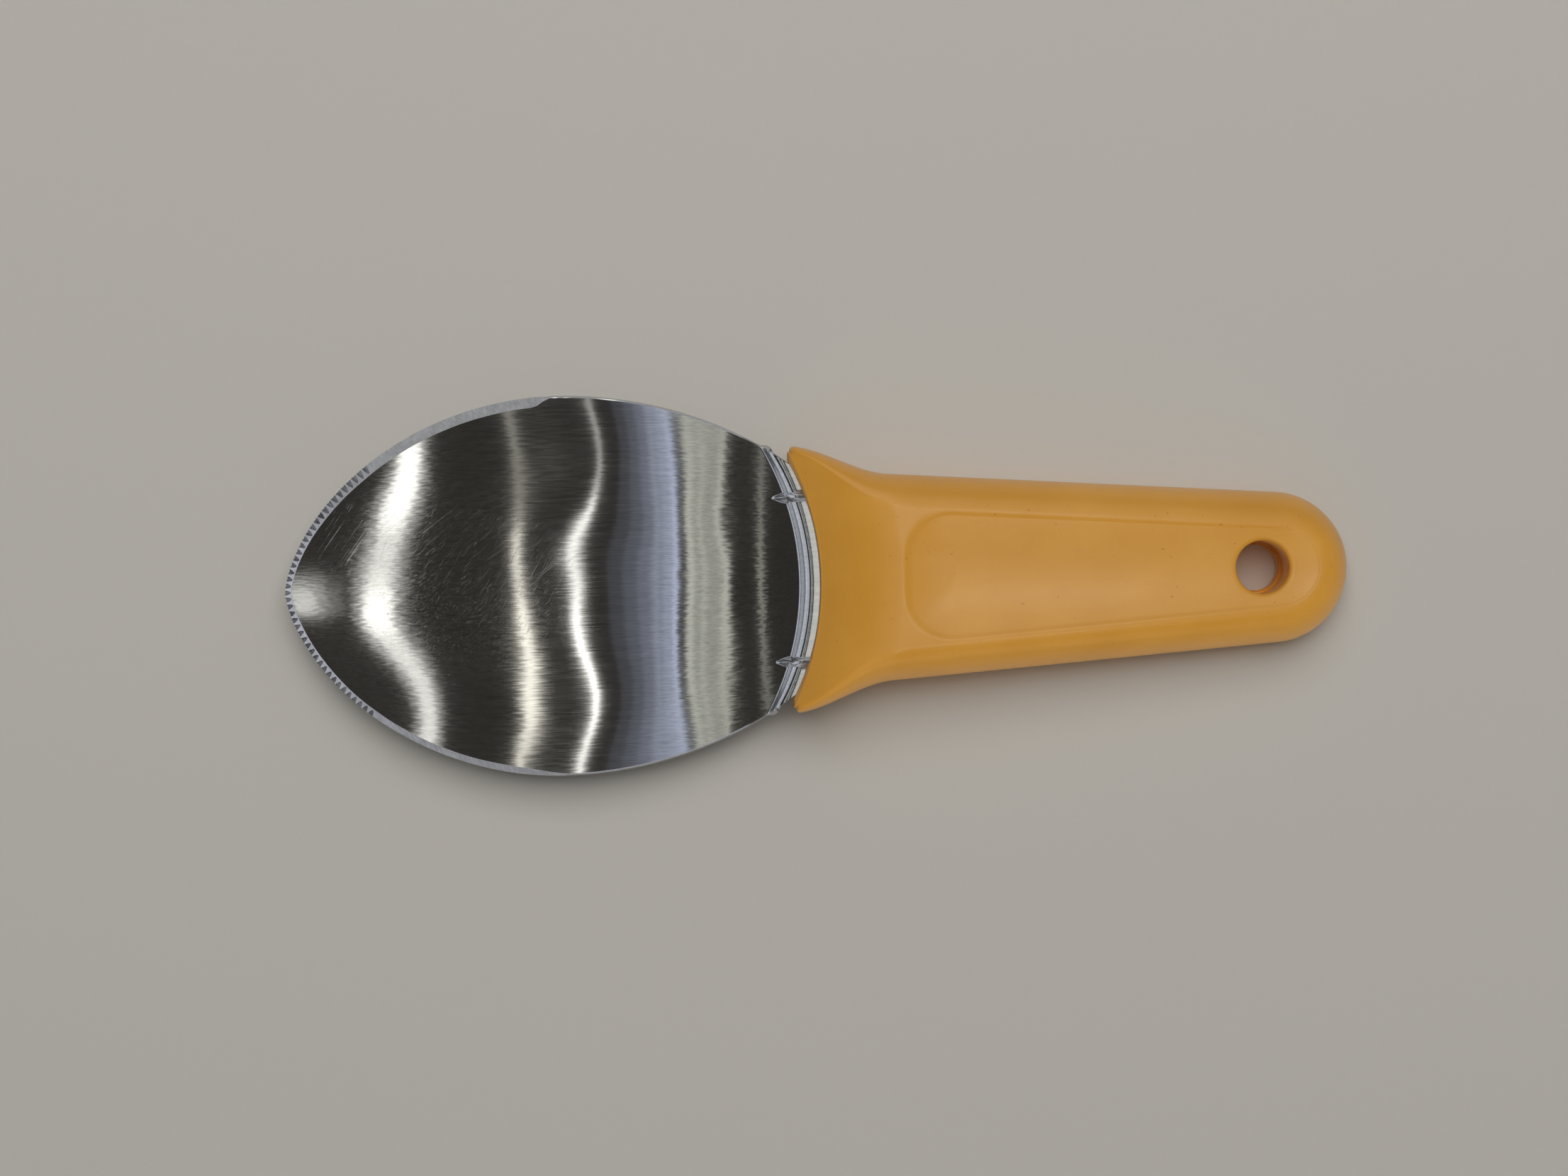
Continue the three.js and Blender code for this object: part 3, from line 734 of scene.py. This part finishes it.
# Satin plastic: warm yellow-orange, evenly coloured through, with a fine moulded grain that sparkles a
# little, faint clouds, rub marks, a few specks of grime and the hairline where the mould halves met.
plastic = bpy.data.materials.new("satin_plastic")
plastic.use_nodes = True
tree = plastic.node_tree
satin = tree.nodes["Principled BSDF"]
satin.inputs["Specular IOR Level"].default_value = 0.7
satin.inputs["Coat Weight"].default_value = 0.25
satin.inputs["Coat Roughness"].default_value = 0.2
place = tree.nodes.new("ShaderNodeTexCoord")
grain = streaks(place, 0.22, 0.22, 0, 3)
clouds = streaks(place, 14, 9, 10, 3)
rubs = ranged(streaks(place, 9, 0.5, 12, 3), 0.62, 0.72, 0, 1)
specks = ranged(streaks(place, 0.55, 0.55, 0, 0), 0.83, 0.86, 0, 1)
orange, yellow, grime = (0.70, 0.322, 0.035, 1), (0.75, 0.36, 0.047, 1), (0.36, 0.13, 0.02, 1)
tint = tree.nodes.new("ShaderNodeMix")
tint.data_type = "RGBA"
tint.inputs["A"].default_value = orange
tint.inputs["B"].default_value = yellow
tree.links.new(spread_noise(clouds, 0, 1), tint.inputs["Factor"])
grimy = tree.nodes.new("ShaderNodeMix")
grimy.data_type = "RGBA"
grimy.inputs["B"].default_value = grime
tree.links.new(combined("MULTIPLY", specks, 0.55), grimy.inputs["Factor"])
tree.links.new(tint.outputs["Result"], grimy.inputs["A"])
tree.links.new(grimy.outputs["Result"], satin.inputs["Base Color"])
rough = combined("ADD", spread_noise(grain, 0.3, 0.38), ranged(rubs, 0, 1, 0, 0.06))
tree.links.new(rough, satin.inputs["Roughness"])
hairline_sharpness = 8000.0
apart = tree.nodes.new("ShaderNodeSeparateXYZ")
tree.links.new(place.outputs["Object"], apart.inputs["Vector"])
fall = combined("MULTIPLY", apart.outputs["X"], tang_fall)
height = combined("ADD", apart.outputs["Z"], fall)
height = combined("ADD", height, -parting(0) / 1000 - mouth_x * tang_fall)
off_line = combined("POWER", combined("MULTIPLY", height, hairline_sharpness), 2.0)
hairline = ranged(off_line, 0, 1, 1, 0)
moulded = combined("ADD", combined("MULTIPLY", grain, 0.5), combined("MULTIPLY", hairline, 1.5))
tree.links.new(bumped(moulded, 0.4, 0.06), satin.inputs["Normal"])
handle_mesh.materials.append(plastic)
handle = bpy.data.objects.new("moulded_handle", handle_mesh)
bpy.context.scene.collection.objects.link(handle)
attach(handle, "root")
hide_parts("handle")

# Floor: a plain pale table top that the spoon lies on.
floor_bm = bmesh.new()
bmesh.ops.create_grid(floor_bm, x_segments=1, y_segments=1, size=2.5)
floor_mesh = bpy.data.meshes.new("table_top")
floor_bm.to_mesh(floor_mesh)
floor_bm.free()
stone = bpy.data.materials.new("pale_table")
stone.use_nodes = True
stone_surface = stone.node_tree.nodes["Principled BSDF"]
stone_surface.inputs["Base Color"].default_value = (0.79, 0.765, 0.715, 1)
stone_surface.inputs["Roughness"].default_value = 0.6
floor_mesh.materials.append(stone)
table = bpy.data.objects.new("table_top", floor_mesh)
bpy.context.scene.collection.objects.link(table)

# Light: a soft dome that is pale low down and dark overhead, a broad soft lamp from beyond the spoon, and
# slim ceiling lamps whose reflections lie as bands across the brushed bowl. Three more lamps light the handle
# alone, and three the steel alone.
world = bpy.data.worlds.new("soft_room")
bpy.context.scene.world = world
world.use_nodes = True
tree = world.node_tree
direction = tree.nodes.new("ShaderNodeTexCoord")
apart = tree.nodes.new("ShaderNodeSeparateXYZ")
tree.links.new(direction.outputs["Generated"], apart.inputs["Vector"])
dome = tree.nodes.new("ShaderNodeValToRGB")
dome.color_ramp.elements[0].position = 0.5
dome.color_ramp.elements[0].color = (0.17, 0.17, 0.17, 1)
dome.color_ramp.elements[1].position = 0.78
dome.color_ramp.elements[1].color = (0.043, 0.039, 0.034, 1)
tree.links.new(apart.outputs["Z"], dome.inputs["Fac"])
tree.links.new(dome.outputs["Color"], tree.nodes["Background"].inputs["Color"])
aimed_from = 0.6


# A lamp wider than 0.6 m is turned to the spoon. The others hang level.
def ceiling_lamp(name, at, reach_x, reach_y, radiance, colour):
    lamp = bpy.data.lights.new(name, "AREA")
    lamp.shape = "RECTANGLE"
    lamp.size = reach_x
    lamp.size_y = reach_y
    lamp.energy = radiance * math.pi * reach_x * reach_y
    lamp.color = colour
    holder = bpy.data.objects.new(name, lamp)
    holder.location = at
    if reach_x > aimed_from:
        holder.rotation_euler = (-Vector(at)).to_track_quat("-Z", "Y").to_euler()
    bpy.context.scene.collection.objects.link(holder)
    return holder


# Each band lamp has the place of its band on the bowl's middle line in millimetres, its width, its near and far
# ends in metres, its radiance and its colour. It hangs where the bowl mirrors it at that place to the camera,
# a little higher than the lamp before it.
warm, white, green, blue = (1.0, 0.95, 0.83), (1.0, 0.98, 0.92), (1.0, 1.0, 0.87), (0.72, 0.78, 1.0)
camera_x, camera_height = -6.4, 415.7
ceiling, ceiling_step = 1.6, 0.005
for name, band_x, wide, near, far, radiance, colour in (
    ("lamp_tip", -88.0, 0.09, -0.05, 0.17, 0.22, white),
    ("lamp_tip_middle", -89.0, 0.06, -0.1, 0.22, 0.3, white),
    ("lamp_tip_core", -89.5, 0.035, -0.03, 0.15, 0.7, white),
    ("lamp_chevron", -76.8, 0.085, -1.5, 2.5, 0.25, white),
    ("lamp_chevron_middle", -76.8, 0.06, -1.5, 2.5, 0.3, white),
    ("lamp_chevron_core", -76.8, 0.038, -1.5, 2.5, 0.75, white),
    ("lamp_chevron_near", -76.8, 0.05, -0.85, -0.5, 1.1, white),
    ("lamp_chevron_far", -76.8, 0.05, 0.0, 0.35, 1.1, white),
    ("lamp_front", -52.6, 0.026, -0.45, 2.5, 0.25, warm),
    ("lamp_front_core", -52.6, 0.012, -0.4, 2.5, 1.5, warm),
    ("lamp_front_end", -52.6, 0.012, -2.0, -0.4, 0.5, warm),
    ("lamp_front_far", -52.6, 0.014, 0.1, 0.8, 0.9, warm),
    ("lamp_middle", -43.5, 0.03, -0.55, 2.5, 0.35, white),
    ("lamp_middle_core", -43.5, 0.013, -0.5, 2.5, 2.1, white),
    ("lamp_middle_end", -43.5, 0.014, -2.0, -0.5, 0.7, white),
    ("lamp_middle_far", -43.5, 0.016, 0.1, 0.8, 0.9, white),
    ("lamp_dim", -31.3, 0.196, -2.0, 2.5, 0.07, blue),
    ("lamp_sign_outer", -29.8, 0.152, -2.0, 2.5, 0.08, blue),
    ("lamp_sign", -28.4, 0.112, -2.0, 2.5, 0.11, blue),
    ("lamp_sign_inner", -27.2, 0.076, -2.0, 2.5, 0.14, blue),
    ("lamp_sign_bright", -26.1, 0.044, -2.0, 2.5, 0.18, blue),
    ("lamp_sign_line", -28.6, 0.008, -2.0, 2.5, 0.2, blue),
    ("lamp_sign_edge", -25.1, 0.014, -2.0, 2.5, 0.7, blue),
    ("lamp_tubes", -20.0, 0.105, -2.0, 2.5, 0.42, green),
    ("lamp_tube", -22.6, 0.018, -2.0, 2.5, 0.4, green),
    ("lamp_thin_tube", -20.4, 0.012, -2.0, 2.5, 0.25, green),
    ("lamp_far_tube", -17.0, 0.018, -2.0, 2.5, 0.5, green),
    ("lamp_last_tube", -10.5, 0.012, -2.0, 2.5, 0.5, green),
):
    slope = (dish(band_x + 0.1, 0) - dish(band_x - 0.1, 0)) / 0.2
    seen = Vector((band_x - camera_x, 0, -camera_height)).normalized()
    normal = Vector((-slope, 0, 1)).normalized()
    bounced = seen - 2 * seen.dot(normal) * normal
    lamp_x = mouth_x + band_x / 1000 + bounced.x / bounced.z * ceiling
    ceiling_lamp(name, (lamp_x, (near + far) / 2, ceiling), wide, far - near, radiance, colour)
    ceiling += ceiling_step
soft_white, window_blue = (1.0, 0.985, 0.96), (0.84, 0.87, 1.0)
soft_far = ceiling_lamp("soft_lamp_far", (0.1, 0.78, 1.4), 1.7, 1.4, 1.8, soft_white)
soft_far.visible_glossy = False
satin_only = bpy.data.collections.new("satin_only")
satin_only.objects.link(handle)
soft_near = ceiling_lamp("soft_lamp_near", (0.2, -1.3, 0.75), 0.7, 0.6, 5.2, soft_white)
soft_near.visible_glossy = False
soft_near.light_linking.receiver_collection = satin_only
for name, y, radiance in (("sheen_lamp_far", 0.13, 17.0), ("sheen_lamp_near", -0.4, 14.0)):
    sheen = ceiling_lamp(name, (0.36, y, 1.6), 0.16, 0.08, radiance, white)
    sheen.light_linking.receiver_collection = satin_only
steel_only = bpy.data.collections.new("steel_only")
steel_only.objects.link(bowl)
for name, at, reach_x, reach_y, radiance in (
    ("window_lamp", (-1.8, 0.0, 1.25), 2.4, 1.9, 0.65),
    ("side_lamp_far", (-0.3, 1.8, 1.0), 2.0, 1.0, 0.45),
    ("side_lamp_near", (-0.3, -1.8, 1.0), 2.0, 1.0, 0.5),
):
    side_light = ceiling_lamp(name, at, reach_x, reach_y, radiance, window_blue)
    side_light.light_linking.receiver_collection = steel_only

# Camera: straight above the spoon, a hand's reach away, with the spoon turned a little in the picture.
camera_data = bpy.data.cameras.new("camera")
camera_data.lens = 54.08
camera_data.sensor_width = 36.0
camera = bpy.data.objects.new("camera", camera_data)
camera.location = (mouth_x + camera_x / 1000, -0.00141, camera_height / 1000)
camera.rotation_euler = (0, 0, math.radians(-1.525))
bpy.context.scene.collection.objects.link(camera)
bpy.context.scene.camera = camera
bpy.context.scene.view_settings.view_transform = "Standard"
